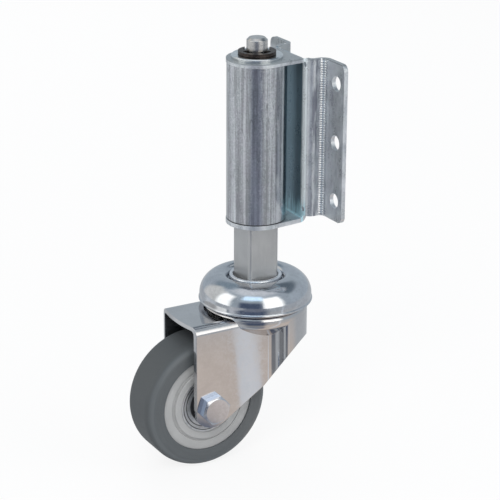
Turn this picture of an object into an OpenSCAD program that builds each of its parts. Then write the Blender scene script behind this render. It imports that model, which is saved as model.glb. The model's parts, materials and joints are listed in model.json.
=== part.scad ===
// Sprung swivel castor with a side bracket.
// The origin is the middle of the bolt pattern, on the back face of the bracket's lips.
// +X leaves that face, +Z is up and the wheel's axle runs along Y.

/* [Bracket] */
// Height over the outer faces of the two flaps
bracket_h = 99; // [84:1:130]
// How far the lower flap reaches below the lips
flap_drop = 4.5; // [4.5:0.5:8]
// Thickness of the folded sheet
sheet_t = 2.5; // [2:0.5:3]
// Distance from the swivel axis to the mounting face
axis_offset = 35.5; // [35:0.5:44]
// Distance from the mounting face to the back of the web
channel_depth = 10.4; // [9.4:0.1:11.4]
// Width over the outside of the side walls
channel_w = 41; // [36:0.5:43]
// Width over both lips
lips_w = 82.5; // [80:0.5:100]
// Inside radius of the folds between side walls and lips
lip_fold_r = 3; // [2:0.1:3.5]
// Outside radius of the folds between web and side walls
web_fold_r = 5; // [3:0.1:5]
// Inside radius of the folds between web and flaps
flap_fold_r = 1.5; // [1:0.1:2.5]
// Corner radius of the lips
lip_corner_r = 4; // [1:0.5:6]
// Distance between the two columns of bolt holes
hole_span = 66; // [62:1:70]
// Distance between neighbouring holes in a column
hole_pitch = 35; // [25:1:38]
// Diameter of the bolt holes
hole_d = 9; // [5:0.5:9]
// How far the flaps stand out past the tube all round
flap_margin = 0.3; // [0:0.1:1.5]

/* [Spring unit] */
// Outside diameter of the housing tube
tube_d = 35; // [34:0.5:36]
// Wall thickness of the housing tube
tube_wall = 2; // [1.5:0.25:2.5]
// Side of the square post
post_w = 20; // [18:0.5:21]
// Radius of the post's long corners
post_corner_r = 2; // [0.5:0.25:3]
// Length of post showing between the lower flap and the swivel head
post_free = 37.5; // [34:0.5:60]
// How far the post reaches into the tube
post_in = 16; // [14:1:24]
// Diameter of the rod that passes through the top
rod_d = 12.2; // [10:0.2:14]
// Height of the rod above the retaining clip
rod_show = 7.7; // [4:0.1:14]
// Wire diameter of the spring
wire_d = 4; // [3:0.25:4.5]
// Mean diameter of the spring
spring_d = 24; // [22:0.5:25]
// Number of turns of the spring
spring_turns = 9; // [6:1:10]
// Diameter of the flange on the guide bush
bush_flange_d = 30; // [24:1:32]
// Thickness of the flange on the guide bush
bush_flange_t = 2; // [1.5:0.25:3]
// Outside diameter of the retaining clip
clip_d = 22; // [18:0.5:24]
// Thickness of the retaining clip
clip_t = 1.8; // [1.2:0.1:2.5]

/* [Swivel head] */
// Diameter over the skirt of the cap
cap_d = 67; // [64:0.5:74]
// Radius of the cap's rolled shoulder
cap_roll_r = 12.6; // [11:0.1:14]
// Sheet thickness of the cap
cap_t = 2.5; // [2:0.25:3]
// Depth of the recess around the foot of the post
cap_recess = 5.3; // [4.5:0.1:8]
// Radius of the recess around the foot of the post
recess_r = 16.4; // [16:0.1:18]
// Height of the straight skirt under the rolled shoulder
skirt_h = 3.7; // [2:0.1:6]
// Diameter of the king pin
king_d = 12; // [10:0.5:14]
// Diameter of the upper row of balls
ball_up_d = 6; // [5:0.5:7]
// Number of balls in the upper row
ball_up_n = 20; // [8:1:22]
// Diameter of the lower row of balls
ball_low_d = 5; // [4:0.5:6]
// Number of balls in the lower row
ball_low_n = 14; // [6:1:15]

/* [Fork] */
// Diameter of the fork's round crown
crown_d = 62; // [60:0.5:63]
// Sheet thickness of the fork
fork_t = 2.5; // [2:0.25:3]
// Width over the outer faces of the legs
fork_w = 41.5; // [40:0.25:41.5]
// Height from the axle to the top of the flat shelf
fork_h = 52.6; // [50:0.1:62]
// Height of the crown above the shelf
crown_rise = 1.8; // [1:0.1:4]
// Distance from the swivel axis to the axle
trail = 39.8; // [36:0.1:42]
// Distance from the axle to the front edges of the legs
leg_front = 11.2; // [10:0.1:12]
// Radius of the leg ends around the axle
leg_end_r = 12.5; // [12.2:0.1:15]
// How far the shelf's front edge bows out between the legs
shelf_bow = 2.75; // [1:0.25:5]
// Outside radius of the folds between shelf and legs
leg_fold_r = 5; // [3:0.25:6]
// Slope of the legs' lower edges in degrees
leg_slope = 32.8; // [31:0.1:35]
// Distance from the swivel axis to where the legs begin to flare out
flare_from = 5.6; // [4:0.2:8]

/* [Wheel] */
// Outside diameter of the tyre
wheel_d = 80; // [74:1:86]
// Width of the tyre
tread_w = 28; // [26:0.5:30]
// Radius of the tyre's shoulders
shoulder_r = 5.4; // [3:0.2:7]
// Diameter of the wheel core at the tyre
core_d = 58.2; // [52:0.2:62]
// How far the core's faces lie inside the tyre's sides
core_inset = 0.9; // [0.3:0.1:2]
// How far the hub stands out from the core's faces
hub_rise = 1.4; // [0.8:0.1:2.5]
// Outside diameter of the ball bearings
bearing_d = 35; // [32:0.5:37]
// Bore of the ball bearings
bearing_bore = 15; // [14:0.5:16]
// Width of each ball bearing
bearing_w = 11; // [9:0.5:12]
// Number of balls in each bearing
bearing_n = 8; // [6:1:9]
// Diameter of the axle bolt
axle_d = 10; // [8:0.5:10]
// Width across the flats of the bolt head and nut
hex_af = 16; // [15:0.5:18]

/* [Hidden] */

$fn = 64;
eps = 0.01;
far = 200;

// Clearances shared by the pieces
run_gap = 0.05;
slide_gap = 0.3;
ball_gap = 0.1;
seat_gap = 0.2;

// Small chamfers
bush_chamfer = 0.6;
hex_chamfer = 1.2;
rod_chamfer = 1.4;

// Heights, from the bracket downwards
lips_h = bracket_h - flap_drop;
bracket_top = lips_h / 2;
bracket_low = bracket_top - bracket_h;
tube_top = bracket_top - sheet_t;
tube_low = bracket_low + sheet_t;
tube_bore_r = tube_d / 2 - tube_wall;
cap_floor = bracket_low - post_free;
cap_crest = cap_floor + cap_recess;
roll_z = cap_crest - cap_roll_r;
cap_rim = roll_z - skirt_h;
rim_gap = 1.2;
crown_top = cap_rim - rim_gap;
shelf_top = crown_top - crown_rise;
axle_z = shelf_top - fork_h;
axle_x = -axis_offset - trail;

// Bracket
web_x = -channel_depth - sheet_t;
side_y = channel_w / 2;
lip_edge_y = lips_w / 2;
flap_half_w = side_y - web_fold_r;
web_top = tube_top - flap_fold_r;
web_low = tube_low + flap_fold_r;
relief_d = 3;
relief_shift = 0.3;
bush_wall = 2.6;
bush_spigot_r = rod_d / 2 + bush_wall;
bush_len = 7;
post_hole_w = post_w + 2 * slide_gap;

// Spring unit
post_top = tube_low + post_in;
guide_h = 12;
seat_t = 3;
boss_h = 2.5;
boss_gap = 0.5;
spring_low = post_top + seat_t;
spring_h = tube_top - spring_low;
clip_low = bracket_top + bush_flange_t + seat_gap;
rod_top = clip_low + clip_t + rod_show;
groove_depth = 1.4;
groove_r = rod_d / 2 - groove_depth;
rod_grip = 10;
clip_band = 2.6;
clip_mouth = 1.5 * groove_r;
clip_tongue = 4;
clip_turn = 60;

// Swivel head
crest_r = cap_d / 2 - cap_roll_r;
inner_roll_r = crest_r - recess_r;
collar_gap = 0.7;
collar_r = recess_r - collar_gap;
collar_h = cap_recess - slide_gap;
collar_round = 1.1;
rim_bead_r = 0.9;
rim_bead_out = 0.5;
king_r = king_d / 2;
king_grip = 18;
king_head_r = king_r + 4.5;
king_head_t = 3;
king_head_taper = 2;
king_rivet = 0.5;
up_wall = 7;
up_pitch_r = cap_d / 2 - cap_t - up_wall;
up_dip = 1.2;
up_race_out = 4.5;
up_race_in = 5.5;
up_race_t = 2.5;
up_race_low = 0.8;
up_race_core_r = king_r + 6;
up_ball_z = crown_top + ball_up_d / 2 - up_dip + ball_gap;
low_pitch_r = 14;
low_dip = 0.9;
crown_under = crown_top - fork_t;
low_ball_z = crown_under - ball_low_d / 2 + low_dip - ball_gap;
low_ring_side = 0.3;
low_race_top = low_ball_z + low_ring_side - ball_low_d / 2 + low_dip;
low_race_t = 3.4;
low_race_out = 4;
low_race_rise = 0.8;
low_race_slope = 1.5;

// Fork
crown_r = crown_d / 2;
leg_y = fork_w / 2;
leg_in = leg_y - fork_t;
crown_edge_r = 3;
crown_foot_r = 5;
crown_wall_h = 6.6;
cone_run = 11;
cone_drop = 9.5;
back_x = 3;
back_corner_r = 3;
back_corner_x = back_x + back_corner_r;
back_corner_y = sqrt(pow(crown_r - back_corner_r, 2) - back_corner_x * back_corner_x);
back_fillet = min(6, back_corner_y - leg_y - 0.3);
bow_r = (leg_y * leg_y + shelf_bow * shelf_bow) / (2 * shelf_bow);
tangent_inset = 0.02;
flare_rise = 1.09;
back_top_drop = 3;
outline_over = 20;
king_room = 1.5;

// Wheel and bearings
wheel_r = wheel_d / 2;
core_r = core_d / 2;
face_y = tread_w / 2 - core_inset;
boss_y = face_y + hub_rise;
bearing_inset = 0.6;
bearing_out_y = boss_y - bearing_inset;
bearing_in_y = bearing_out_y - bearing_w;
ring_r = bearing_d / 2;
bore_r = bearing_bore / 2;
race_pitch_r = (ring_r + bore_r) / 2;
race_ball_r = bearing_w * 0.32;
ring_gap_r = race_ball_r - 0.7;
outer_land_r = race_pitch_r + ring_gap_r;
inner_land_r = race_pitch_r - ring_gap_r;
shield_t = 0.5;
shield_inset = 0.5;
bearing_mid_y = (bearing_out_y + bearing_in_y) / 2;
head_h = 5;
nut_h = 9;
nut_nose_h = 2;
washer_t = 2;
washer_r = 10;
bolt_turn = 12;
bolt_end = 1.5;
band_w = 10;
band_h = 2.5;
core_lip = 2.5;
boss_r = (core_r + ring_r) / 2 - 1.2;
boss_round = 0.7;
seat_chamfer = 0.6;
groove_round = 0.5;
spacer_wall = 2;

// Colours
zinc = [0.72, 0.75, 0.78];
dark_zinc = [0.55, 0.58, 0.62];
turned_steel = [0.66, 0.66, 0.64];
spring_steel = [0.20, 0.17, 0.16];
tyre_grey = [0.36, 0.38, 0.39];
core_grey = [0.70, 0.70, 0.70];
race_steel = [0.62, 0.63, 0.65];

// Helpers

module on_swivel() {
    translate([-axis_offset, 0, 0]) children();
}

// Turns a profile drawn as [radius, distance along Y] about the axle
module about_axle() {
    translate([axle_x, 0, axle_z]) rotate([90, 0, 0]) children();
}

module ring_2d(r_out, r_in) {
    difference() {
        circle(r_out);
        circle(r_in);
    }
}

module tube(r_out, r_in, h) {
    difference() {
        cylinder(r = r_out, h = h);
        translate([0, 0, -1]) cylinder(r = r_in, h = h + 2);
    }
}

// Square with four rounded corners
module soft_square(w, r) {
    square([w - 2 * r, w], center = true);
    square([w, w - 2 * r], center = true);
    for (sx = [-1, 1], sy = [-1, 1]) translate([sx * (w / 2 - r), sy * (w / 2 - r)]) circle(r);
}

// Quarter of a bent sheet, in the corner from +x to +y
module quarter_bend(r_in, t) {
    intersection() {
        ring_2d(r_in + t, r_in);
        square(r_in + t + 1);
    }
}

module hex_prism(af, h) {
    cylinder(d = af / cos(30), h = h, $fn = 6);
}

// Hexagon with its outer corners turned off at 30 degrees
module chamfered_hex(af, h) {
    corner_r = af / 2 / cos(30);
    intersection() {
        hex_prism(af, h);
        union() {
            cylinder(r = corner_r + 1, h = h - hex_chamfer);
            translate([0, 0, h - hex_chamfer])
                cylinder(r1 = corner_r + hex_chamfer / 2, r2 = af / 2 - hex_chamfer / 2, h = hex_chamfer);
        }
    }
}

// Bracket pieces

// Half of the hat section: web, fold, side wall, fold, lip
module hat_half() {
    fold_x = web_x + web_fold_r;
    fold_y = side_y - web_fold_r;
    lip_x = -sheet_t - lip_fold_r;
    lip_y = side_y + lip_fold_r;
    translate([web_x, 0]) square([sheet_t, fold_y]);
    translate([fold_x, fold_y]) rotate(90) quarter_bend(web_fold_r - sheet_t, sheet_t);
    translate([fold_x, side_y - sheet_t]) square([lip_x - fold_x, sheet_t]);
    translate([lip_x, lip_y]) rotate(-90) quarter_bend(lip_fold_r, sheet_t);
    translate([-sheet_t, lip_y]) square([sheet_t, lip_edge_y - lip_y]);
}

// Outline of the lips seen along X, as [y, z], with rounded outer corners
module lip_outline() {
    soft_y = lip_edge_y - lip_corner_r;
    soft_z = lips_h / 2 - lip_corner_r;
    square([2 * soft_y, lips_h], center = true);
    square([lips_w, 2 * soft_z], center = true);
    for (sy = [-1, 1], sz = [-1, 1]) translate([sy * soft_y, sz * soft_z]) circle(lip_corner_r);
}

// Tapered flap around the tube, as [x, y] from the swivel axis
module flap_outline() {
    r = tube_d / 2 + flap_margin;
    root_x = axis_offset + web_x - flap_fold_r;
    lean = asin(r / sqrt(root_x * root_x + flap_half_w * flap_half_w)) - atan2(flap_half_w, root_x);
    circle(r);
    polygon([[root_x, flap_half_w], [r * sin(lean), r * cos(lean)], [0, 0],
        [r * sin(lean), -r * cos(lean)], [root_x, -flap_half_w]]);
}

// One flap with its fold, its outer face at z = 0 and its fold below
module flap() {
    on_swivel() translate([0, 0, -sheet_t]) linear_extrude(sheet_t) flap_outline();
    translate([web_x - flap_fold_r, flap_half_w, -sheet_t - flap_fold_r])
        rotate([90, 0, 0]) linear_extrude(2 * flap_half_w) quarter_bend(flap_fold_r, sheet_t);
}

module mounting_bracket() {
    color(zinc) difference() {
        union() {
            intersection() {
                translate([0, 0, -lips_h / 2]) linear_extrude(lips_h) {
                    hat_half();
                    mirror([0, 1]) hat_half();
                }
                rotate([90, 0, 90]) translate([0, 0, -far / 2]) linear_extrude(far) lip_outline();
                union() {
                    translate([-far / 2, -flap_half_w, web_top - far]) cube([far, 2 * flap_half_w, far]);
                    for (s = [0, 1]) mirror([0, s, 0])
                        translate([-far / 2, flap_half_w, -far / 2]) cube([far, far, far]);
                }
            }
            translate([web_x, -flap_half_w, web_low]) cube([sheet_t, 2 * flap_half_w, -web_low]);
            translate([0, 0, bracket_top]) flap();
            translate([0, 0, bracket_low]) mirror([0, 0, 1]) flap();
        }
        for (sy = [-1, 1], k = [-1, 0, 1]) translate([-sheet_t - 1, sy * hole_span / 2, k * hole_pitch])
            rotate([0, 90, 0]) cylinder(d = hole_d, h = sheet_t + 2);
        on_swivel() translate([0, 0, tube_top - 1]) cylinder(r = bush_spigot_r, h = sheet_t + 2);
        on_swivel() translate([0, 0, bracket_low - 1]) linear_extrude(sheet_t + 2)
            soft_square(post_hole_w, post_corner_r);
        for (sy = [-1, 1], sz = [-1, 1])
            translate([web_x - 1, sy * flap_half_w, sz * (web_top + relief_shift)])
                rotate([0, 90, 0]) cylinder(d = relief_d, h = web_fold_r + 1);
    }
}

module housing_tube() {
    color(zinc) on_swivel() translate([0, 0, tube_low])
        tube(tube_d / 2, tube_bore_r, tube_top - tube_low);
}

module guide_bush() {
    color(zinc) on_swivel() difference() {
        union() {
            translate([0, 0, bracket_top]) cylinder(d = bush_flange_d, h = bush_flange_t - bush_chamfer);
            translate([0, 0, bracket_top + bush_flange_t - bush_chamfer])
                cylinder(d1 = bush_flange_d, d2 = bush_flange_d - 2 * bush_chamfer, h = bush_chamfer);
            translate([0, 0, bracket_top + bush_flange_t - bush_len])
                cylinder(r = bush_spigot_r, h = bush_len - 1);
        }
        translate([0, 0, bracket_top - bush_len]) cylinder(r = rod_d / 2 + run_gap, h = bush_len + 10);
    }
}

// Block that guides the square post inside the lower end of the tube
module lower_guide() {
    color(dark_zinc) on_swivel() translate([0, 0, tube_low]) difference() {
        cylinder(r = tube_bore_r, h = guide_h);
        translate([0, 0, -1]) linear_extrude(guide_h + 2) soft_square(post_hole_w, post_corner_r);
    }
}

function coil_angle(k, steps) = 360 * k / steps;

// Wire of the spring: rings of points swept along a helix whose end turns close up
module coil(r, wire_r, h, turns) {
    sides = 10;
    steps = 20;
    n = turns * steps;
    rise = h - 2 * wire_r;
    close = 1 / turns;
    lift = function (f) f < close ? f * 0.35 : f > 1 - close ? 1 - (1 - f) * 0.35
        : close * 0.35 + (f - close) * (1 - 0.7 * close) / (1 - 2 * close);
    pts = [for (k = [0:n]) let (a = coil_angle(k, steps), z = wire_r + rise * lift(k / n))
        for (j = [0:sides - 1]) let (b = 360 * j / sides, q = r + wire_r * cos(b))
            [q * cos(a), q * sin(a), z + wire_r * sin(b)]];
    walls = [for (k = [0:n - 1], j = [0:sides - 1]) let (m = (j + 1) % sides)
        [k * sides + j, k * sides + m, (k + 1) * sides + m, (k + 1) * sides + j]];
    ends = [[for (j = [sides - 1:-1:0]) j], [for (j = [0:sides - 1]) n * sides + j]];
    polyhedron(pts, concat(walls, ends), convexity = 10);
}

module compression_spring() {
    color(spring_steel) on_swivel() translate([0, 0, spring_low])
        coil(spring_d / 2, wire_d / 2, spring_h, spring_turns);
}

// Pieces that slide in the bracket

module square_post() {
    color(zinc) on_swivel() difference() {
        translate([0, 0, cap_floor]) linear_extrude(post_top - cap_floor)
            soft_square(post_w, post_corner_r);
        translate([0, 0, cap_floor - 1]) cylinder(r = king_r, h = king_grip + 1);
        translate([0, 0, post_top - rod_grip]) cylinder(r = groove_r, h = rod_grip + 1);
    }
}

module spring_seat() {
    color(dark_zinc) on_swivel() translate([0, 0, post_top]) difference() {
        union() {
            cylinder(r = tube_bore_r - slide_gap, h = seat_t);
            cylinder(r = spring_d / 2 - wire_d / 2 - boss_gap, h = seat_t + boss_h);
        }
        translate([0, 0, -1]) cylinder(r = groove_r, h = seat_t + boss_h + 2);
    }
}

module plunger_rod() {
    shoulder = post_top + seat_t + boss_h;
    color(turned_steel) on_swivel() difference() {
        union() {
            translate([0, 0, post_top - rod_grip])
                cylinder(r = groove_r, h = shoulder - post_top + rod_grip);
            translate([0, 0, shoulder]) cylinder(d = rod_d, h = rod_top - rod_chamfer - shoulder);
            translate([0, 0, rod_top - rod_chamfer])
                cylinder(d1 = rod_d, d2 = rod_d - 2 * rod_chamfer, h = rod_chamfer);
        }
        translate([0, 0, clip_low]) tube(rod_d, groove_r, clip_t);
    }
}

// Open clip with three tongues that grip the rod's groove
module retaining_clip() {
    color(spring_steel) on_swivel() translate([0, 0, clip_low]) rotate(clip_turn) linear_extrude(clip_t)
        difference() {
            union() {
                difference() {
                    ring_2d(clip_d / 2, clip_d / 2 - clip_band);
                    translate([0, -clip_mouth]) square([clip_d, 2 * clip_mouth]);
                }
                intersection() {
                    circle(clip_d / 2 - clip_band / 2);
                    for (a = [90, 180, 270])
                        rotate(a) translate([0, -clip_tongue / 2]) square([clip_d, clip_tongue]);
                }
            }
            circle(groove_r);
        }
}

// Round collar that locks the foot of the post in the recess of the cap
module head_collar() {
    in_r = (post_w / 2 - post_corner_r) * sqrt(2) + post_corner_r;
    color(zinc) on_swivel() translate([0, 0, cap_floor]) rotate_extrude() {
        translate([in_r, 0]) square([collar_r - in_r, collar_h - collar_round]);
        translate([in_r + collar_round, 0]) square([collar_r - in_r - 2 * collar_round, collar_h]);
        for (x = [in_r, collar_r - 2 * collar_round])
            translate([x + collar_round, collar_h - collar_round]) circle(collar_round);
    }
}

// Section of the pressed cap: skirt, rolled shoulder, tight inner roll, recess wall and floor
module cap_section() {
    skirt_r = cap_d / 2;
    translate([crest_r, roll_z]) intersection() {
        ring_2d(cap_roll_r, cap_roll_r - cap_t);
        square(cap_roll_r + 1);
    }
    translate([crest_r, cap_crest - inner_roll_r]) intersection() {
        ring_2d(inner_roll_r, inner_roll_r - cap_t);
        translate([-inner_roll_r - 1, 0]) square(inner_roll_r + 1);
    }
    translate([skirt_r - cap_t, cap_rim]) square([cap_t, skirt_h]);
    translate([skirt_r - rim_bead_r + rim_bead_out, cap_rim + rim_bead_r]) circle(rim_bead_r);
    translate([recess_r, cap_floor - cap_t]) square([cap_t, cap_crest - inner_roll_r - cap_floor + cap_t]);
    translate([king_r, cap_floor - cap_t]) square([recess_r - king_r + eps, cap_t]);
}

module swivel_cap() {
    color(zinc) on_swivel() rotate_extrude() cap_section();
}

module upper_race() {
    top = cap_floor - cap_t;
    low = up_ball_z + up_race_low;
    color(race_steel) on_swivel() rotate_extrude() difference() {
        polygon([[up_race_core_r, top], [up_race_core_r, low + up_race_t], [up_pitch_r - up_race_in, low],
            [up_pitch_r + up_race_out, low], [up_pitch_r + up_race_out, low + up_race_t + 0.5],
            [recess_r + cap_t, top]]);
        translate([up_pitch_r, up_ball_z]) circle(ball_up_d / 2 + ball_gap);
    }
}

module ball_row(n, pitch_r, r) {
    for (k = [0:n - 1]) rotate(360 * k / n) translate([pitch_r, 0, 0]) sphere(r, $fn = 32);
}

module ball_groove(pitch_r, ball_d) {
    rotate_extrude() translate([pitch_r, 0]) circle(ball_d / 2 + ball_gap);
}

module king_pin() {
    pin_low = low_race_top - low_race_t;
    color(race_steel) on_swivel() union() {
        translate([0, 0, pin_low - king_rivet])
            cylinder(r = king_r, h = cap_floor + king_grip - pin_low + king_rivet);
        translate([0, 0, pin_low - king_head_t])
            cylinder(r1 = king_head_r - king_head_taper, r2 = king_head_r, h = king_head_t);
    }
}

module lower_race() {
    color(race_steel) on_swivel() rotate_extrude() difference() {
        polygon([[king_r, low_race_top - low_race_t], [low_pitch_r, low_race_top - low_race_t],
            [low_pitch_r + low_race_out, low_race_top - low_race_slope],
            [low_pitch_r + low_race_out, low_race_top + low_race_rise],
            [king_r, low_race_top + low_race_rise]]);
        translate([low_pitch_r, low_ball_z]) circle(ball_low_d / 2 + ball_gap);
    }
}

// Pieces that swivel

module upper_balls() {
    color(race_steel) on_swivel() translate([0, 0, up_ball_z])
        ball_row(ball_up_n, up_pitch_r, ball_up_d / 2);
}

module lower_balls() {
    color(race_steel) on_swivel() translate([0, 0, low_ball_z])
        ball_row(ball_low_n, low_pitch_r, ball_low_d / 2);
}

// Round crown: flat top, rounded edge, upright wall and a cone down to the legs.
// The offset d shrinks it evenly for the hollow inside.
module crown_form(d) {
    r = crown_r - d;
    top = crown_top - d;
    turn = atan2(cone_run, cone_drop);
    corner_z = crown_top - crown_wall_h + d * tan(turn / 2);
    foot_r = crown_foot_r - d;
    cut = foot_r * tan(turn / 2);
    edge_r = crown_edge_r - d;
    end_r = r - cone_run;
    end_z = corner_z - cone_drop;
    rotate_extrude() {
        polygon([[0, top], [r - edge_r, top], [r - edge_r, top - edge_r], [r, top - edge_r],
            [r, corner_z + cut], [r - foot_r, corner_z + cut],
            [r - cut * sin(turn), corner_z - cut * cos(turn)], [end_r, end_z], [0, end_z]]);
        translate([r - edge_r, top - edge_r]) circle(edge_r);
        translate([r - foot_r, corner_z + cut]) circle(foot_r);
    }
}

// Channel of the two legs and the shelf, open below and in front
module leg_channel(d) {
    half = leg_y - d;
    top = shelf_top - d;
    r = leg_fold_r - d;
    rotate([90, 0, 90]) translate([0, 0, -far]) linear_extrude(far + back_x + d) {
        translate([-half, top - far]) square([2 * half, far - r]);
        translate([-half + r, top - r - 1]) square([2 * (half - r), r + 1]);
        for (s = [-1, 1]) translate([s * (half - r), top - r]) circle(r);
    }
}

// Plan of the round back wall, which meets the legs in a wide fillet
module back_plan(d) {
    r = crown_r - d;
    corner_r = back_corner_r - d;
    wall_x = back_x + d;
    a = atan2(back_corner_y, back_corner_x);
    fillet = back_fillet + d;
    intersection() {
        circle(r);
        polygon([[0, 0], [far * cos(a), far * sin(a)], [2 * far, 0], [far * cos(a), -far * sin(a)]]);
    }
    for (s = [-1, 1]) translate([back_corner_x, s * back_corner_y]) circle(corner_r);
    translate([wall_x, -back_corner_y]) square([back_corner_x - wall_x + 2, 2 * back_corner_y]);
    for (s = [0, 1]) mirror([0, s]) translate([wall_x - fillet, leg_y - d - eps]) difference() {
        square(fillet + eps);
        translate([0, fillet + eps]) circle(fillet);
    }
}

module back_form(d) {
    translate([0, 0, shelf_top - far]) linear_extrude(far - back_top_drop) back_plan(d);
}

// Height of the straight lower edges at a distance x from the swivel axis
function edge_z(x) = axle_z + (x + trail) * tan(leg_slope) - leg_end_r / cos(leg_slope);

// Everything above the lower edges of the legs and of the back wall, seen along Y as [x, z]
module side_outline() {
    tan_x = -trail + (leg_end_r - tangent_inset) * sin(leg_slope);
    tan_z = axle_z - (leg_end_r - tangent_inset) * cos(leg_slope);
    front = -trail - leg_front;
    back_end = crown_r + outline_over;
    above = crown_top + outline_over;
    intersection() {
        union() {
            translate([-trail, axle_z]) circle(leg_end_r);
            polygon([[-trail, axle_z], [tan_x, tan_z], [back_end, edge_z(back_end)], [back_end, above],
                [front - outline_over, above], [front - outline_over, axle_z]]);
        }
        union() {
            translate([front, axle_z - far]) square([far, far + 1]);
            translate([front - outline_over, axle_z]) square([far, far]);
        }
    }
}

// Cuts the lower edge of the flare on one side, climbing outwards from the leg
module flare_cut() {
    translate([-flare_from, leg_y, edge_z(-flare_from) - tangent_inset]) rotate([atan(flare_rise), 0, 0])
        rotate([0, -leg_slope, 0]) translate([0, -far, -far]) cube([far, 2 * far, far]);
}

module fork() {
    color(zinc) on_swivel() difference() {
        intersection() {
            difference() {
                union() {
                    crown_form(0);
                    leg_channel(0);
                    back_form(0);
                }
                crown_form(fork_t);
                leg_channel(fork_t);
                back_form(fork_t);
            }
            rotate([90, 0, 0]) translate([0, 0, -far / 2]) linear_extrude(far) side_outline();
            translate([bow_r - trail - leg_front - shelf_bow, 0, shelf_top - far])
                cylinder(r = bow_r, h = 2 * far);
        }
        for (s = [0, 1]) mirror([0, s, 0]) flare_cut();
        translate([0, 0, crown_under - 1]) cylinder(r = king_r + king_room, h = fork_t + 2);
        translate([0, 0, up_ball_z]) ball_groove(up_pitch_r, ball_up_d);
        translate([0, 0, low_ball_z]) ball_groove(low_pitch_r, ball_low_d);
        translate([-trail, leg_y + 1, axle_z]) rotate([90, 0, 0]) cylinder(r = axle_d / 2, h = fork_w + 2);
    }
}

// Axle and its pieces

module axle_bolt() {
    grip = fork_w + washer_t + nut_h + bolt_end;
    color(zinc) about_axle() union() {
        translate([0, 0, leg_y]) rotate(bolt_turn) chamfered_hex(hex_af, head_h);
        translate([0, 0, leg_y - grip]) cylinder(d = axle_d, h = grip + 1);
    }
}

module nut_washer() {
    color(zinc) about_axle() translate([0, 0, -leg_y - washer_t]) tube(washer_r, axle_d / 2, washer_t);
}

// Lock nut with a round nose over its insert
module axle_nut() {
    color(zinc) about_axle() translate([0, 0, -leg_y - washer_t]) rotate([180, 0, bolt_turn])
        difference() {
            union() {
                chamfered_hex(hex_af, nut_h - nut_nose_h);
                cylinder(r = hex_af / 2 - hex_chamfer, h = nut_h);
            }
            translate([0, 0, -1]) cylinder(d = axle_d, h = nut_h + 2);
        }
}

module axle_sleeve() {
    color(race_steel) about_axle() translate([0, 0, -leg_in]) tube(bore_r, axle_d / 2, 2 * leg_in);
}

module hub_spacer() {
    color(race_steel) about_axle() translate([0, 0, -bearing_in_y])
        tube(bore_r + spacer_wall, bore_r, 2 * bearing_in_y);
}

module end_spacers() {
    color(dark_zinc) about_axle() for (s = [0, 1]) mirror([0, 0, s])
        translate([0, 0, bearing_out_y]) tube(bore_r + spacer_wall, bore_r, leg_in - bearing_out_y);
}

module inner_ring() {
    rotate_extrude() difference() {
        translate([bore_r, bearing_in_y]) square([inner_land_r - bore_r, bearing_w]);
        translate([race_pitch_r, bearing_mid_y]) circle(race_ball_r + ball_gap);
    }
}

module inner_ring_near() {
    color(race_steel) about_axle() inner_ring();
}

module inner_ring_far() {
    color(race_steel) about_axle() mirror([0, 0, 1]) inner_ring();
}

// Pieces that roll

module tyre() {
    half = tread_w / 2;
    color(tyre_grey) about_axle() rotate_extrude() difference() {
        union() {
            translate([0, -half]) square([wheel_r - shoulder_r, tread_w]);
            translate([0, -half + shoulder_r]) square([wheel_r, tread_w - 2 * shoulder_r]);
            for (s = [-1, 1]) translate([wheel_r - shoulder_r, s * (half - shoulder_r)]) circle(shoulder_r);
        }
        core_rim();
    }
}

// Outer form of the core: a drum with a raised band that holds the tyre
module core_rim() {
    translate([0, -tread_w]) square([core_r, 2 * tread_w]);
    translate([0, -band_w / 2]) square([core_r + band_h, band_w]);
}

// Core with a hub that stands out round each bearing
module wheel_core() {
    color(core_grey) about_axle() rotate_extrude() difference() {
        union() {
            intersection() {
                core_rim();
                translate([0, -face_y]) square([wheel_r, 2 * face_y]);
            }
            translate([0, -boss_y]) square([boss_r - boss_round, 2 * boss_y]);
            translate([0, boss_round - boss_y]) square([boss_r, 2 * (boss_y - boss_round)]);
            for (s = [-1, 1]) translate([boss_r - boss_round, s * (boss_y - boss_round)]) circle(boss_round);
        }
        translate([-1, -far]) square([ring_r - core_lip + 1, 2 * far]);
        for (s = [-1, 1]) {
            translate([0, s > 0 ? bearing_in_y : -bearing_in_y - far]) square([ring_r, far]);
            translate([ring_r, s * boss_y]) rotate(45) square(seat_chamfer * sqrt(2), center = true);
            translate([boss_r + 2 * groove_round, s * face_y]) circle(groove_round, $fn = 16);
        }
    }
}

module outer_ring() {
    rotate_extrude() difference() {
        translate([outer_land_r, bearing_in_y]) square([ring_r - outer_land_r, bearing_w]);
        translate([race_pitch_r, bearing_mid_y]) circle(race_ball_r + ball_gap);
    }
}

module outer_ring_near() {
    color(race_steel) about_axle() outer_ring();
}

module outer_ring_far() {
    color(race_steel) about_axle() mirror([0, 0, 1]) outer_ring();
}

module bearing_balls_near() {
    color(race_steel) about_axle() translate([0, 0, bearing_mid_y])
        ball_row(bearing_n, race_pitch_r, race_ball_r);
}

module bearing_balls_far() {
    color(race_steel) about_axle() translate([0, 0, -bearing_mid_y])
        ball_row(bearing_n, race_pitch_r, race_ball_r);
}

// Two thin discs that close one bearing
module shields() {
    for (y = [bearing_out_y - shield_inset - shield_t, bearing_in_y + shield_inset])
        translate([0, 0, y]) tube(outer_land_r, inner_land_r + slide_gap, shield_t);
}

module shields_near() {
    color(dark_zinc) about_axle() shields();
}

module shields_far() {
    color(dark_zinc) about_axle() mirror([0, 0, 1]) shields();
}

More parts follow.
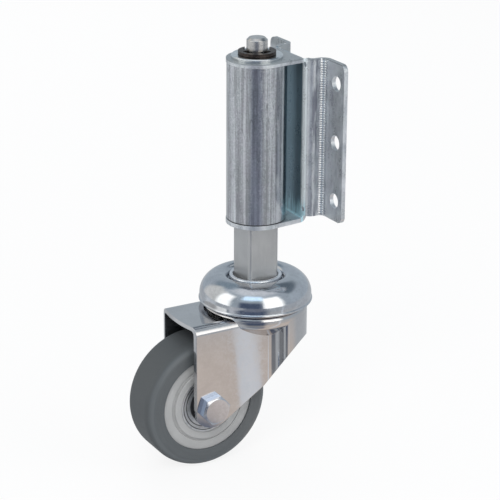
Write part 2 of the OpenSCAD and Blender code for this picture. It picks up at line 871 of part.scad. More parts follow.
mounting_bracket();
housing_tube();
guide_bush();
lower_guide();
compression_spring();
square_post();
spring_seat();
plunger_rod();
retaining_clip();
head_collar();
swivel_cap();
upper_race();
king_pin();
lower_race();
fork();
upper_balls();
lower_balls();
axle_bolt();
axle_nut();
nut_washer();
axle_sleeve();
hub_spacer();
end_spacers();
inner_ring_near();
inner_ring_far();
tyre();
wheel_core();
outer_ring_near();
outer_ring_far();
bearing_balls_near();
bearing_balls_far();
shields_near();
shields_far();
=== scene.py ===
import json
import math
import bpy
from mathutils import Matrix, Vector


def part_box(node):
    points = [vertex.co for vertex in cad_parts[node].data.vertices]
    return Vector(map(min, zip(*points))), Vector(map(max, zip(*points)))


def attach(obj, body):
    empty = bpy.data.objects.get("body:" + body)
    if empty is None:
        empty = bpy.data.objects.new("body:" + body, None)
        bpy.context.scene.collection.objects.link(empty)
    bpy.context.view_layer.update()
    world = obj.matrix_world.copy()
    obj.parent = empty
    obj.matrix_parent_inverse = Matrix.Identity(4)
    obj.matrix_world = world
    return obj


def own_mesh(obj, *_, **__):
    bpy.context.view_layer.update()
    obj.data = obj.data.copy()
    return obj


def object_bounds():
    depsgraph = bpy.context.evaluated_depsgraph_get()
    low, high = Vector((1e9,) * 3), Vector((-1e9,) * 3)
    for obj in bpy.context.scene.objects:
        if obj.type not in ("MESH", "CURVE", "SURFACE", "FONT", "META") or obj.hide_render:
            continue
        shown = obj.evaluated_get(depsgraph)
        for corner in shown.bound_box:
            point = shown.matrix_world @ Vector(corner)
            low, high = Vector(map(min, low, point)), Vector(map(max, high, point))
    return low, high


bl_info = {
    "name": "Swivel castor finishes",
    "version": (1, 0, 0),
    "blender": (4, 5, 0),
    "location": "View3D > Sidebar > Castor",
    "description": "Finishes, lip ribs and a photo stage for a sprung swivel castor",
    "category": "Object",
}

import bpy
from mathutils import Matrix, Vector

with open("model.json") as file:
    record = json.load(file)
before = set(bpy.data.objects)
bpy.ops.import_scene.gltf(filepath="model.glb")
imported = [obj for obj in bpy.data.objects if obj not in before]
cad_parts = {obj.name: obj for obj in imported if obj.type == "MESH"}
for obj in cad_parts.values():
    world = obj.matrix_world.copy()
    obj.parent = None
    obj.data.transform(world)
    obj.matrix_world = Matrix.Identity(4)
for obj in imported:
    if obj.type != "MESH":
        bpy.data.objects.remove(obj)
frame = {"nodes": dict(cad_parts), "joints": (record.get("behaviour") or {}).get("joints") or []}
cad_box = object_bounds()
nodes = frame["nodes"]

MM = 0.001


def middle(node):
    """Middle of a node's box, in metres."""
    low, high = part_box(node)
    return Vector([(a + b) / 2 for a, b in zip(low, high)])


SWIVEL_X = middle("housing_tube").x
AXLE = middle("hub_spacer")
FLOOR_Z = cad_box[0][2]
TUBE_LOW_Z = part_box("housing_tube")[0][2]

# Places that the finishes follow, in millimetres
SWIVEL_MM = SWIVEL_X / MM
TUBE_LOW_MM = TUBE_LOW_Z / MM
TUBE_SEAM_MM = (0.5, 0.8)
TUBE_BACK_MM = (13.5, 17.0)
FLAP_TOP_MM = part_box("mounting_bracket")[1][2] / MM
WEB_FACE_MM = -12.9
WEB_EDGE_MM = 19.5
# x of the darker band down each side wall
WALL_BAND_MM = -8.8
# x of the painted highlight down the fold where each wall turns into its lip
FOLD_HIGHLIGHT_MM = -4.9
POST_HALF_MM = 10.0
POST_FOOT_MM = (-92.0, -70.0)
BOLT_FACE_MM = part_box("axle_bolt")[0][1] / MM
# Radii of the painted shade on the bearings: inside the shield, and thin lines at the gaps beside the outer
# ring
SHIELD_INNER_MM = 11.5
RING_GAPS_MM = (14.2, 16.2)
SHOULDER_MM = 37.0

# Colours that lie over the finishes, many of them painted shade, highlights and reflections, and how far the
# film's pattern is moved from the cloud's
FILM_SHIFT = (31.0, 17.0, 5.0)
FILM_VIOLET = (0.62, 0.52, 0.66)
# White of the painted highlights down the bracket's folds and on the ribs
PAINTED_HIGHLIGHT_WHITE = (1.0, 1.0, 1.0)
# Teal patina of the bracket's web under painted light: painted shade in the middle, a painted highlight at
# the near edge, lighter painted reflections at the far side and low down
WEB_SHADE_ON_PATINA = (0.065, 0.11, 0.14)
WEB_EDGE_PAINTED_HIGHLIGHT = (0.88, 0.94, 0.96)
WEB_FAR_PAINTED_REFLECTION = (0.17, 0.28, 0.35)
WEB_LOW_PAINTED_REFLECTION = (0.46, 0.76, 0.86)
BLOT_BLUE = (0.15, 0.20, 0.25)
# Painted shade on the top of the upper flap and on the tab by the far lip
FLAP_PAINTED_SHADE = (0.21, 0.235, 0.24)
WALL_DARK_BAND = (0.12, 0.12, 0.165)
SEAM_DARK = (0.03, 0.03, 0.035)
# Painted shade inside the bearings and in their gaps
HUB_PAINTED_SHADE = (0.035, 0.037, 0.042)
POST_PAINTED_HIGHLIGHT = (0.58, 0.58, 0.575)
# Painted blue reflection on the bolt head's flats
BOLT_PAINTED_REFLECTION = (0.50, 0.62, 0.82)


# Shader maths

class Term:
    """A socket that takes part in sums and products as a number does, each a Math node of its finish."""

    def __init__(self, finish, socket):
        self.finish = finish
        self.socket = socket

    def _math(self, operation, *values):
        return self.finish.node("ShaderNodeMath", {"operation": operation}, dict(enumerate(values)))

    def __add__(self, other):
        return self._math("ADD", self, other)

    def __radd__(self, other):
        return self._math("ADD", other, self)

    def __sub__(self, other):
        return self._math("SUBTRACT", self, other)

    def __rsub__(self, other):
        return self._math("SUBTRACT", other, self)

    def __mul__(self, other):
        return self._math("MULTIPLY", self, other)

    def __rmul__(self, other):
        return self._math("MULTIPLY", other, self)

    def __abs__(self):
        return self._math("ABSOLUTE", self)

    def top(self, other):
        """The greater of the two."""
        return self._math("MAXIMUM", self, other)

    def low(self, other):
        """The lesser of the two."""
        return self._math("MINIMUM", self, other)

    def power(self, other):
        return self._math("POWER", self, other)

    def turn_from(self, other):
        """Angle of the point (other, self) round the origin, in radians."""
        return self._math("ARCTAN2", self, other)


def reach(a, b):
    """Distance of the point (a, b) from the origin."""
    return (a * a + b * b).power(0.5)


class Finish:
    """The nodes of one material or of the world: its shader and what feeds it."""

    def __init__(self, owner, shader, output):
        owner.use_nodes = True
        self.owner = owner
        self.tree = owner.node_tree
        self.tree.nodes.clear()
        made = self.node(shader)
        self.shader = made.socket.node
        self.node(output, None, {"Surface": made})

    def feed(self, socket, value):
        """Link a term to a socket, or set the socket to a number or a colour."""
        if isinstance(value, Term):
            self.tree.links.new(value.socket, socket)
        elif socket.type == "RGBA" and len(value) == 3:
            socket.default_value = (*value, 1.0)
        else:
            socket.default_value = value

    def node(self, kind, settings=None, inputs=None, output=0):
        """Add a node, its settings first, then the values or links of its sockets, and give its output."""
        made = self.tree.nodes.new(kind)
        for key, value in (settings or {}).items():
            setattr(made, key, value)
        for key, value in (inputs or {}).items():
            self.feed(made.inputs[key], value)
        return Term(self, made.outputs[output]) if len(made.outputs) else None

    def set(self, **sockets):
        """Feed the shader's sockets, named with underscores for spaces."""
        for key, value in sockets.items():
            self.feed(self.shader.inputs[key.replace("_", " ")], value)

    def blend(self, share, first, second):
        """Feed a Mix Shader, which goes from first to second with share."""
        for key, value in enumerate((share, first, second)):
            self.feed(self.shader.inputs[key], value)

    def seen(self):
        """1 for a ray from the camera, a mirror or glass, and 0 for one that carries soft light."""
        rays = self.node("ShaderNodeLightPath").socket.node.outputs
        direct = Term(self, rays["Is Camera Ray"]).top(Term(self, rays["Is Glossy Ray"]))
        return direct.top(Term(self, rays["Is Transmission Ray"]))

    def place(self):
        """Object coordinates in millimetres."""
        coordinates = self.node("ShaderNodeTexCoord", output="Object")
        return self.node("ShaderNodeVectorMath", {"operation": "SCALE"}, {0: coordinates, "Scale": 1 / MM})

    def place_from(self, point):
        """x, y and z in millimetres, counted from a point that is given in metres."""
        return self.parts(self.moved(self.place(), tuple(-c / MM for c in point)))

    def moved(self, vector, by):
        """A vector with another added to it."""
        return self.node("ShaderNodeVectorMath", {"operation": "ADD"}, {0: vector, 1: by})

    def stretched(self, vector, by):
        """A vector with each part multiplied by a number of its own."""
        return self.node("ShaderNodeVectorMath", {"operation": "MULTIPLY"}, {0: vector, 1: by})

    def joined(self, x, y, z=0.0):
        """A vector of three parts."""
        return self.node("ShaderNodeCombineXYZ", None, {0: x, 1: y, 2: z})

    def parts(self, vector):
        """x, y and z of a vector."""
        split = self.node("ShaderNodeSeparateXYZ", None, {0: vector})
        return [Term(self, output) for output in split.socket.node.outputs]

    def noise(self, vector, scale, detail=3.0, roughness=0.55):
        """Noise from 0 to 1, its scale in features per millimetre."""
        return self.node("ShaderNodeTexNoise", {"noise_dimensions": "3D"},
                         {"Vector": vector, "Scale": scale, "Detail": detail, "Roughness": roughness})

    def between(self, value, start, end, low=0.0, high=1.0):
        """Smooth step of a value from low at start to high at end."""
        return self.node("ShaderNodeMapRange", {"interpolation_type": "SMOOTHSTEP"},
                         {"Value": value, "From Min": start, "From Max": end, "To Min": low, "To Max": high})

    def fade(self, value, start, end):
        """Smooth step down, from 1 at start to 0 at end."""
        return self.between(value, start, end, 1.0, 0.0)

    def near(self, value, middle, full, gone):
        """1 within full of the middle, which fades to 0 at gone."""
        return self.fade(abs(value - middle), full, gone)

    def mix(self, share, first, second):
        """Colour that goes from first to second with share."""
        return self.node("ShaderNodeMix", {"data_type": "RGBA", "clamp_factor": True},
                         {0: share, 6: first, 7: second}, output=2)

    def relief(self, height, depth_mm, edge_mm=0.0):
        """Normal of a height from 0 to 1 of that depth, with edges rounded by edge_mm."""
        inputs = {"Height": height, "Distance": depth_mm * MM, "Strength": 1.0}
        if edge_mm:
            inputs["Normal"] = self.node("ShaderNodeBevel", {"samples": 6}, {"Radius": edge_mm * MM})
        return self.node("ShaderNodeBump", None, inputs)


def surface(name, shader="ShaderNodeBsdfPrincipled"):
    """A new material of that name, ready for its nodes."""
    return Finish(bpy.data.materials.new(name), shader, "ShaderNodeOutputMaterial")


def tint(colour, factor):
    """A colour made lighter or darker by a factor."""
    return tuple(min(1.0, c * factor) for c in colour)


def paint(finish, *names):
    """Give every material slot of these CAD nodes the finish."""
    for name in names:
        mesh = nodes[name].data
        if not mesh.materials:
            mesh.materials.append(finish.owner)
        for k in range(len(mesh.materials)):
            mesh.materials[k] = finish.owner


# Finishes

def zinc_sheet(name, colour, streak, roughness=0.2, edge_mm=0.35, depth_mm=0.012, mottle=0.1, metal=1.0,
               stain_and_painted_light=None):
    """Bright zinc plating: cloudy tint, faint drawing lines, specks, a thin violet film and rounded edges.
    streak is how fast the lines change along x, y and z, per millimetre. stain_and_painted_light gives the
    share, the colour and the metal share of what lies over the plating: patina, and painted shade, highlights
    and reflections."""
    f = surface(name)
    place = f.place()
    cloud = f.noise(place, 0.09)
    grain = f.noise(f.stretched(place, streak), 1.0, detail=4.0, roughness=0.6)
    speck = f.noise(place, 1.1, detail=4.0, roughness=0.65)
    tone = f.between(cloud * 0.45 + grain * 0.3 + speck * 0.25, 0.38, 0.62)
    base = f.mix(tone, tint(colour, 1 - 1.2 * mottle), tint(colour, 1 + 0.8 * mottle))
    film = f.noise(f.moved(place, FILM_SHIFT), 0.16, detail=4.0, roughness=0.6)
    base = f.mix(f.between(film, 0.4, 0.62) * mottle * 0.6, base, FILM_VIOLET)
    if stain_and_painted_light:
        share, shade, shine = stain_and_painted_light(f, place)
        base = f.mix(share, base, shade)
        metal = share * (shine - metal) + metal
    matt = grain * 0.4 + cloud * 0.3 + speck * 0.3
    f.set(Base_Color=base, Metallic=metal,
          Roughness=f.between(matt, 0.35, 0.65, roughness - 0.05, roughness + 0.07),
          Normal=f.relief(grain * 0.6 + speck * 0.4, depth_mm, edge_mm))
    return f


def channel_patina_and_painted_light(f, place):
    """Blue-green passivation, thick on the bracket's web, where painted shade and painted reflections lie
    over it, a darker band down each wall, painted shade on the upper flap and a painted highlight down each
    fold."""
    x, y, z = f.parts(place)
    cloud = f.noise(f.stretched(place, (1.0, 0.45, 0.05)), 1.0)
    blots = f.noise(f.stretched(place, (0.16, 0.16, 0.07)), 1.0, roughness=0.6)
    band_streaks = f.noise(f.stretched(place, (0.3, 0.3, 0.035)), 1.0, roughness=0.6)
    highlight_breaks = f.noise(f.stretched(place, (0.1, 0.1, 0.09)), 1.0, detail=2.0)
    web = (f.fade(abs(y), WEB_EDGE_MM - 1.0, WEB_EDGE_MM + 1.0)
           * f.between(x, WEB_FACE_MM - 1.5, WEB_FACE_MM - 0.6)
           * f.fade(x, WEB_FACE_MM + 0.3, WEB_FACE_MM + 0.9))
    walls = f.between(abs(y), WEB_EDGE_MM, WEB_EDGE_MM + 0.5)
    # A darker band down each side wall, in upright streaks
    wall = walls * f.between(band_streaks, 0.42, 0.58, 0.1, 0.85) * f.near(x, WALL_BAND_MM, 1.0, 2.4)
    # Painted highlight: a bright line down each fold, broken by noise
    fold_highlight = walls * f.between(highlight_breaks, 0.4, 0.55, 0.2, 1.0) * f.near(x, FOLD_HIGHLIGHT_MM, 0.3, 0.7)
    # Painted shade on the flap's top and the tab by the far lip
    tab_shade = f.between(y, 12.0, 18.0) * f.between(z, 38.0, 44.0) * f.between(x, -12.0, -8.0)
    flap_shade = f.between(z, FLAP_TOP_MM - 1.0, FLAP_TOP_MM - 0.5).top(tab_shade) * 0.75
    blot = f.between(blots, 0.52, 0.68, 0.0, 0.3)
    # Painted shade and painted reflections over the web's teal patina
    web_shading = f.mix(f.between(abs(y + cloud * 2 - 1.0), 12.2, 15.0), WEB_SHADE_ON_PATINA, WEB_EDGE_PAINTED_HIGHLIGHT)
    web_shading = f.mix(f.between(y + cloud * 4, -7.0, 1.0), web_shading, WEB_FAR_PAINTED_REFLECTION)
    web_shading = f.mix(f.fade(z + cloud * 24, -36.0, -26.0) * 0.8, web_shading, WEB_LOW_PAINTED_REFLECTION)
    shade = f.mix(wall, f.mix(flap_shade, BLOT_BLUE, FLAP_PAINTED_SHADE), WALL_DARK_BAND)
    return (web.top(blot).top(wall).top(flap_shade).top(fold_highlight),
            f.mix(fold_highlight, f.mix(web, shade, web_shading), PAINTED_HIGHLIGHT_WHITE), 0.35)


def drawn_tube(name, colour):
    """Bright zinc on a drawn tube: upright streaks round it, with specks and a few long scratches."""
    f = surface(name)
    place = f.place()
    x, y, z = f.parts(place)
    ahead = x - SWIVEL_MM
    angle = y.turn_from(ahead)
    strip = f.joined(angle * 9.0, z * 0.012)
    wide = f.noise(strip, 1.0, detail=2.0)
    fine = f.noise(f.stretched(strip, (6.0, 3.0, 1.0)), 1.0, roughness=0.6)
    cloud = f.noise(place, 0.12)
    speck = f.noise(place, 0.9, detail=5.0, roughness=0.7)
    leaning = f.joined(angle * 4.0 + z * 0.008, z * 0.02, 3.7)
    scratch = f.near(f.noise(leaning, 1.0, detail=1.0), 0.5, 0.0, 0.012)
    tone = f.between(wide * 0.5 + fine * 0.08 + cloud * 0.12 + speck * 0.3, 0.38, 0.62)
    base = f.mix(tone, tint(colour, 0.64), tint(colour, 1.26))
    film = f.noise(f.moved(place, FILM_SHIFT), 0.14, detail=4.0, roughness=0.6)
    base = f.mix(f.between(film, 0.42, 0.62, 0.0, 0.12), base, FILM_VIOLET)
    base = f.mix(scratch * 0.55, base, tint(colour, 0.4))
    seam = f.fade(z - TUBE_LOW_MM, *TUBE_SEAM_MM)
    f.set(Base_Color=f.mix(seam, base, SEAM_DARK),
          Metallic=f.between(seam, 0.0, 1.0, 1.0, 0.2) * f.between(ahead, *TUBE_BACK_MM, 1.0, 0.45),
          Roughness=f.between(fine * 0.3 + speck * 0.7, 0.35, 0.65, 0.12, 0.25),
          Normal=f.relief(fine * 0.2 + wide * 0.3 + speck * 0.5, depth_mm=0.025, edge_mm=0.3))
    return f


def post_painted_highlight(f, place):
    """Painted highlight down the post's corners, and the same lighter colour at its foot."""
    x, y, z = f.parts(place)
    across = abs(x - SWIVEL_MM).low(abs(y))
    # Painted highlight down each corner of the post
    corner = f.between(across, POST_HALF_MM - 1.5, POST_HALF_MM - 0.2)
    return corner.top(f.fade(z, *POST_FOOT_MM) * 0.7), POST_PAINTED_HIGHLIGHT, 0.6


def bolt_painted_reflection(f, place):
    """Painted blue reflection on the six flats of the bolt's head."""
    x, y, z = f.parts(place)
    depth = y - BOLT_FACE_MM
    return f.between(depth, 1.1, 1.5) * f.fade(depth, 7.0, 8.0) * 0.8, BOLT_PAINTED_REFLECTION, 0.45


def rib_painted_highlight(f, place):
    """Painted highlight at the start of each rib, on the wall's side of the fold."""
    x, y, z = f.parts(place)
    return f.fade(x, FOLD_HIGHLIGHT_MM, FOLD_HIGHLIGHT_MM + 0.9) * 0.9, PAINTED_HIGHLIGHT_WHITE, 0.35


def turned(name, colour, axis_index, roughness=0.24, pitch=1.6, edge_mm=0.3):
    """Turned or ground steel: fine rings along the axis it was turned about, pitch of them per millimetre."""
    f = surface(name)
    place = f.place()
    streak = [0.02, 0.02, 0.02]
    streak[axis_index] = pitch
    rings = f.noise(f.stretched(place, tuple(streak)), 1.0, detail=4.0, roughness=0.7)
    cloud = f.noise(place, 0.25)
    tone = f.between(rings * 0.5 + cloud * 0.5, 0.36, 0.64)
    f.set(Base_Color=f.mix(tone, tint(colour, 0.88), tint(colour, 1.08)),
          Metallic=1.0,
          Roughness=f.between(rings, 0.3, 0.7, roughness - 0.05, roughness + 0.07),
          Normal=f.relief(rings, depth_mm=0.01, edge_mm=edge_mm))
    return f


def bearing_steel(name, colour):
    """Ground bearing steel seen end on: a light shield between thin lines of painted shade at the gaps, with
    painted shade inside it.
    """
    f = surface(name)
    x, y, z = f.place_from(AXLE)
    out = reach(x, z)
    # light is 1 where no painted shade lies: painted shade inside the shield and in thin lines at the ring
    # gaps
    light = f.between(out, SHIELD_INNER_MM, SHIELD_INNER_MM + 0.5)
    for radius in RING_GAPS_MM:
        light = light * f.between(abs(out - radius), 0.15, 0.45)
    cloud = f.noise(f.place(), 0.6)
    steel = f.mix(f.between(cloud, 0.35, 0.65), tint(colour, 0.92), tint(colour, 1.06))
    f.set(Base_Color=f.mix(light, HUB_PAINTED_SHADE, steel),
          Metallic=f.between(light, 0.0, 1.0, 0.3, 0.8),
          Roughness=f.between(cloud, 0.3, 0.7, 0.28, 0.4),
          Normal=f.relief(cloud, depth_mm=0.005, edge_mm=0.35))
    return f


def dark_steel(name, colour, roughness=0.38):
    """Blackened or oiled spring steel: brown-black with a soft sheen."""
    f = surface(name)
    cloud = f.noise(f.place(), 0.8, detail=4.0, roughness=0.6)
    f.set(Base_Color=f.mix(f.between(cloud, 0.4, 0.7), colour, tint(colour, 2.2)),
          Metallic=0.75,
          Roughness=f.between(cloud, 0.3, 0.7, roughness - 0.08, roughness + 0.1),
          Normal=f.relief(cloud, depth_mm=0.02, edge_mm=0.25))
    return f


def moulded(name, colour, roughness):
    """Moulded plastic: an even colour with a fine spark-eroded grain."""
    f = surface(name)
    place = f.place()
    grain = f.noise(place, 1.9, roughness=0.6)
    cloud = f.noise(place, 0.07, detail=2.0)
    tone = f.between(cloud * 0.7 + grain * 0.3, 0.35, 0.65)
    f.set(Base_Color=f.mix(tone, tint(colour, 0.95), tint(colour, 1.05)),
          Metallic=0.0,
          Roughness=f.between(grain, 0.3, 0.7, roughness - 0.05, roughness + 0.06),
          Normal=f.relief(grain, depth_mm=0.012, edge_mm=0.35))
    return f


def soft_tyre(name, colour):
    """Thermoplastic rubber: satin sides, a matt tread band, faint moulding swirls and a painted highlight
    along the shoulder.
    """
    f = surface(name)
    x, y, z = f.place_from(AXLE)
    out = reach(x, z)
    swirl = f.noise(f.joined(out * 0.7, z.turn_from(x) * 2.0, y * 0.5), 1.0, roughness=0.6)
    grain = f.noise(f.place(), 2.4, roughness=0.6)
    # Painted highlight along the tyre's shoulder
    shoulder_highlight = f.near(out, SHOULDER_MM, 0.4, 1.5)
    tone = f.between(swirl * 0.6 + grain * 0.4, 0.35, 0.65) * 0.5 + shoulder_highlight * 0.7
    tread = f.between(out, SHOULDER_MM + 1.0, SHOULDER_MM + 2.4)
    side = f.mix(tone, tint(colour, 0.95), tint(colour, 1.22))
    f.set(Base_Color=f.mix(tread, side, f.mix(tone, tint(colour, 0.74), tint(colour, 0.86))),
          Metallic=0.0,
          Roughness=f.between(grain * 0.5 + swirl * 0.5, 0.3, 0.7, 0.42, 0.56) + tread * 0.08,
          Normal=f.relief(grain * 0.6 + swirl * 0.4, depth_mm=0.02, edge_mm=0.4))
    return f


# Settings

def colour_of(settings, key):
    """A colour of a property group, as plain numbers."""
    return tuple(getattr(settings, key))


def colour_property(name, description, default):
    """A colour that a user can change."""
    return bpy.props.FloatVectorProperty(name=name, description=description, subtype="COLOR", size=3,
                                         min=0.0, max=1.0, default=default)


class CastorColours(bpy.types.PropertyGroup):
    """Colours of the castor's finishes"""
    bracket: colour_property("Bracket zinc", "Zinc plating on the folded bracket", (0.685, 0.715, 0.735))
    tube: colour_property("Tube zinc", "Zinc plating on the drawn tube", (0.56, 0.58, 0.60))
    post: colour_property("Post zinc", "Satin zinc plating on the square post", (0.475, 0.482, 0.485))
    cap: colour_property("Cap zinc", "Zinc plating on the deep-drawn cap", (0.56, 0.585, 0.62))
    fork: colour_property("Fork zinc", "Zinc plating on the pressed fork", (0.575, 0.575, 0.585))
    bolt: colour_property("Bolt zinc", "Zinc plating on the axle bolt and its nut", (0.575, 0.595, 0.64))
    rod: colour_property("Rod steel", "Turned bare steel of the guide rod", (0.58, 0.57, 0.56))
    race: colour_property("Race steel", "Greased steel of the swivel races and balls", (0.40, 0.41, 0.39))
    bearing: colour_property("Bearing steel", "Ground steel of the wheel bearings", (0.66, 0.675, 0.69))
    inner: colour_property("Inner steel", "Plain steel of the hidden pieces", (0.46, 0.47, 0.49))
    clip: colour_property("Clip black", "Blackened steel of the retaining clip", (0.035, 0.027, 0.024))
    spring: colour_property("Spring black", "Oiled steel of the spring", (0.05, 0.045, 0.045))
    guide: colour_property("Guide plastic", "Black plastic of the lower guide", (0.02, 0.02, 0.022))
    tyre: colour_property("Tyre grey", "Dark grey rubber of the tyre", (0.098, 0.108, 0.114))
    core: colour_property("Core grey", "Light grey plastic of the wheel's core", (0.43, 0.43, 0.425))


class CastorRibs(bpy.types.PropertyGroup):
    """Sizes of the ribs pressed into the lip folds"""
    pitch: bpy.props.FloatProperty(name="Rib pitch", description="Distance from one pressed rib to the next",
                                   default=1.4 * MM, min=0.5 * MM, subtype="DISTANCE", unit="LENGTH")
    thickness: bpy.props.FloatProperty(name="Rib thickness", description="Thickness of each pressed rib",
                                       default=0.8 * MM, min=0.2 * MM, subtype="DISTANCE", unit="LENGTH")


class CastorStage(bpy.types.PropertyGroup):
    """Camera, light and floor of the stage"""
    azimuth: bpy.props.FloatProperty(name="Camera azimuth",
                                     description="Turn of the camera round the castor",
                                     default=math.radians(-29.80), subtype="ANGLE", unit="ROTATION")
    elevation: bpy.props.FloatProperty(name="Camera elevation",
                                       description="Angle of the camera above the floor",
                                       default=math.radians(20.19), subtype="ANGLE", unit="ROTATION")
    roll: bpy.props.FloatProperty(name="Camera roll",
                                  description="Tilt of the camera about its own line of sight",
                                  default=math.radians(0.335), subtype="ANGLE", unit="ROTATION")
    lens: bpy.props.FloatProperty(name="Lens", description="Focal length on a 36 mm frame",
                                  default=133.47, subtype="DISTANCE_CAMERA")
    lamp: bpy.props.FloatProperty(name="Lamp power", description="Power of the main lamp", default=9.0,
                                  min=0.0, unit="POWER")
    white: colour_property("Floor white", "Colour of the floor and backdrop", (0.975, 0.977, 0.98))


# Bracket and spring unit

class CASTOR_OT_bracket(bpy.types.Operator):
    """Finish the bracket, its tube and the two guides"""
    bl_idname = "castor.bracket"
    bl_label = "Finish bracket"

    def execute(self, context):
        colours = context.scene.castor_colours
        paint(zinc_sheet("bracket_zinc", colour_of(colours, "bracket"), streak=(0.35, 0.35, 0.09),
                         roughness=0.3, edge_mm=0.25, depth_mm=0.02, mottle=0.16, metal=0.85,
                         stain_and_painted_light=channel_patina_and_painted_light), "mounting_bracket")
        paint(drawn_tube("tube_zinc", colour_of(colours, "tube")), "housing_tube")
        paint(turned("bush_zinc", colour_of(colours, "bracket"), axis_index=2, roughness=0.2, pitch=1.2),
              "guide_bush")
        paint(moulded("guide_plastic", colour_of(colours, "guide"), roughness=0.5), "lower_guide")
        return {"FINISHED"}


class CASTOR_OT_spring_unit(bpy.types.Operator):
    """Finish the spring, the square post, the guide rod and its clip"""
    bl_idname = "castor.spring_unit"
    bl_label = "Finish spring unit"

    def execute(self, context):
        colours = context.scene.castor_colours
        paint(dark_steel("spring_steel", colour_of(colours, "spring"), roughness=0.35), "compression_spring")
        paint(zinc_sheet("post_zinc", colour_of(colours, "post"), streak=(1.2, 1.2, 0.05), roughness=0.36,
                         edge_mm=0.4, mottle=0.06, metal=0.85, stain_and_painted_light=post_painted_highlight), "square_post")
        paint(turned("inner_steel", colour_of(colours, "inner"), axis_index=2),
              "spring_seat", "axle_sleeve", "hub_spacer", "end_spacers")
        paint(turned("turned_steel", colour_of(colours, "rod"), axis_index=2, roughness=0.22, pitch=2.2,
                     edge_mm=0.35), "plunger_rod")
        paint(dark_steel("clip_steel", colour_of(colours, "clip")), "retaining_clip")
        low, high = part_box("compression_spring")
        travel = next(joint["range_m"][1] for joint in frame["joints"] if joint["name"] == "post_slide")
        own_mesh(nodes["compression_spring"], "post_slide", axis=(0, 0, 1), anchor=(SWIVEL_X, 0, high[2]),
                  keep=1 - travel / (high[2] - low[2]))
        return {"FINISHED"}


# Swivel head and fork

class CASTOR_OT_swivel_head(bpy.types.Operator):
    """Finish the cap, the collar at the post's foot and the ball races"""
    bl_idname = "castor.swivel_head"
    bl_label = "Finish swivel head"

    def execute(self, context):
        colours = context.scene.castor_colours
        cap = colour_of(colours, "cap")
        race = colour_of(colours, "race")
        even = (0.4, 0.4, 0.4)
        paint(zinc_sheet("cap_zinc", cap, streak=(0.25, 0.25, 0.5), roughness=0.12, edge_mm=0.3,
                         depth_mm=0.014), "swivel_cap")
        # The collar is the cap's zinc painted 25% lighter, as painted light
        paint(zinc_sheet("collar_zinc", tint(cap, 1.25), streak=even, roughness=0.26, edge_mm=0.4,
                         depth_mm=0.006, mottle=0.05, metal=0.75), "head_collar")
        paint(zinc_sheet("race_steel", race, streak=even, roughness=0.45, edge_mm=0.3, depth_mm=0.004,
                         mottle=0.05, metal=0.3), "upper_race", "king_pin", "lower_race")
        paint(zinc_sheet("ball_steel", race, streak=even, roughness=0.4, edge_mm=0.3, depth_mm=0.004,
                         mottle=0.05, metal=0.3), "upper_balls", "lower_balls")
        return {"FINISHED"}


class CASTOR_OT_fork(bpy.types.Operator):
    """Finish the pressed fork"""
    bl_idname = "castor.fork"
    bl_label = "Finish fork"

    def execute(self, context):
        fork = colour_of(context.scene.castor_colours, "fork")
        paint(zinc_sheet("fork_zinc", fork, streak=(0.5, 0.5, 0.5), roughness=0.085, edge_mm=0.4,
                         depth_mm=0.004, mottle=0.04), "fork")
        return {"FINISHED"}


# Axle and wheel

class CASTOR_OT_axle(bpy.types.Operator):
    """Finish the axle bolt, its nut and washer"""
    bl_idname = "castor.axle"
    bl_label = "Finish axle"

    def execute(self, context):
        bolt = colour_of(context.scene.castor_colours, "bolt")
        even = (0.6, 0.6, 0.6)
        paint(zinc_sheet("bolt_zinc", bolt, streak=even, roughness=0.16, edge_mm=0.3, stain_and_painted_light=bolt_painted_reflection),
              "axle_bolt")
        paint(zinc_sheet("nut_zinc", bolt, streak=even, roughness=0.18, edge_mm=0.3),
              "axle_nut", "nut_washer")
        return {"FINISHED"}


class CASTOR_OT_bearings(bpy.types.Operator):
    """Finish the two ball bearings"""
    bl_idname = "castor.bearings"
    bl_label = "Finish bearings"

    def execute(self, context):
        colours = context.scene.castor_colours
        paint(bearing_steel("ring_steel", colour_of(colours, "bearing")),
              "inner_ring_near", "inner_ring_far", "outer_ring_near", "outer_ring_far",
              "shields_near", "shields_far")
        paint(turned("bearing_ball_steel", colour_of(colours, "race"), axis_index=1, roughness=0.12,
                     pitch=0.1, edge_mm=0.0), "bearing_balls_near", "bearing_balls_far")
        return {"FINISHED"}


class CASTOR_OT_wheel(bpy.types.Operator):
    """Finish the tyre and its core"""
    bl_idname = "castor.wheel"
    bl_label = "Finish wheel"

    def execute(self, context):
        colours = context.scene.castor_colours
        paint(soft_tyre("tyre_rubber", colour_of(colours, "tyre")), "tyre")
        paint(moulded("core_plastic", colour_of(colours, "core"), roughness=0.5), "wheel_core")
        return {"FINISHED"}


# Ribs pressed into the lip folds

LIP_FRONT_X = -2.5 * MM
WALL_Y = 20.5 * MM
FOLD_R = 3.0 * MM
RIB_SPAN = 91.0 * MM
RIB_RISE = 0.2 * MM
RIB_SMOOTH_ANGLE = math.radians(40)


def cut_away(point, normal):
    """Remove what lies on the side of a plane that its normal points to."""
    bpy.ops.mesh.select_all(action="SELECT")
    bpy.ops.mesh.bisect(plane_co=point, plane_no=normal, clear_outer=True, use_fill=True)


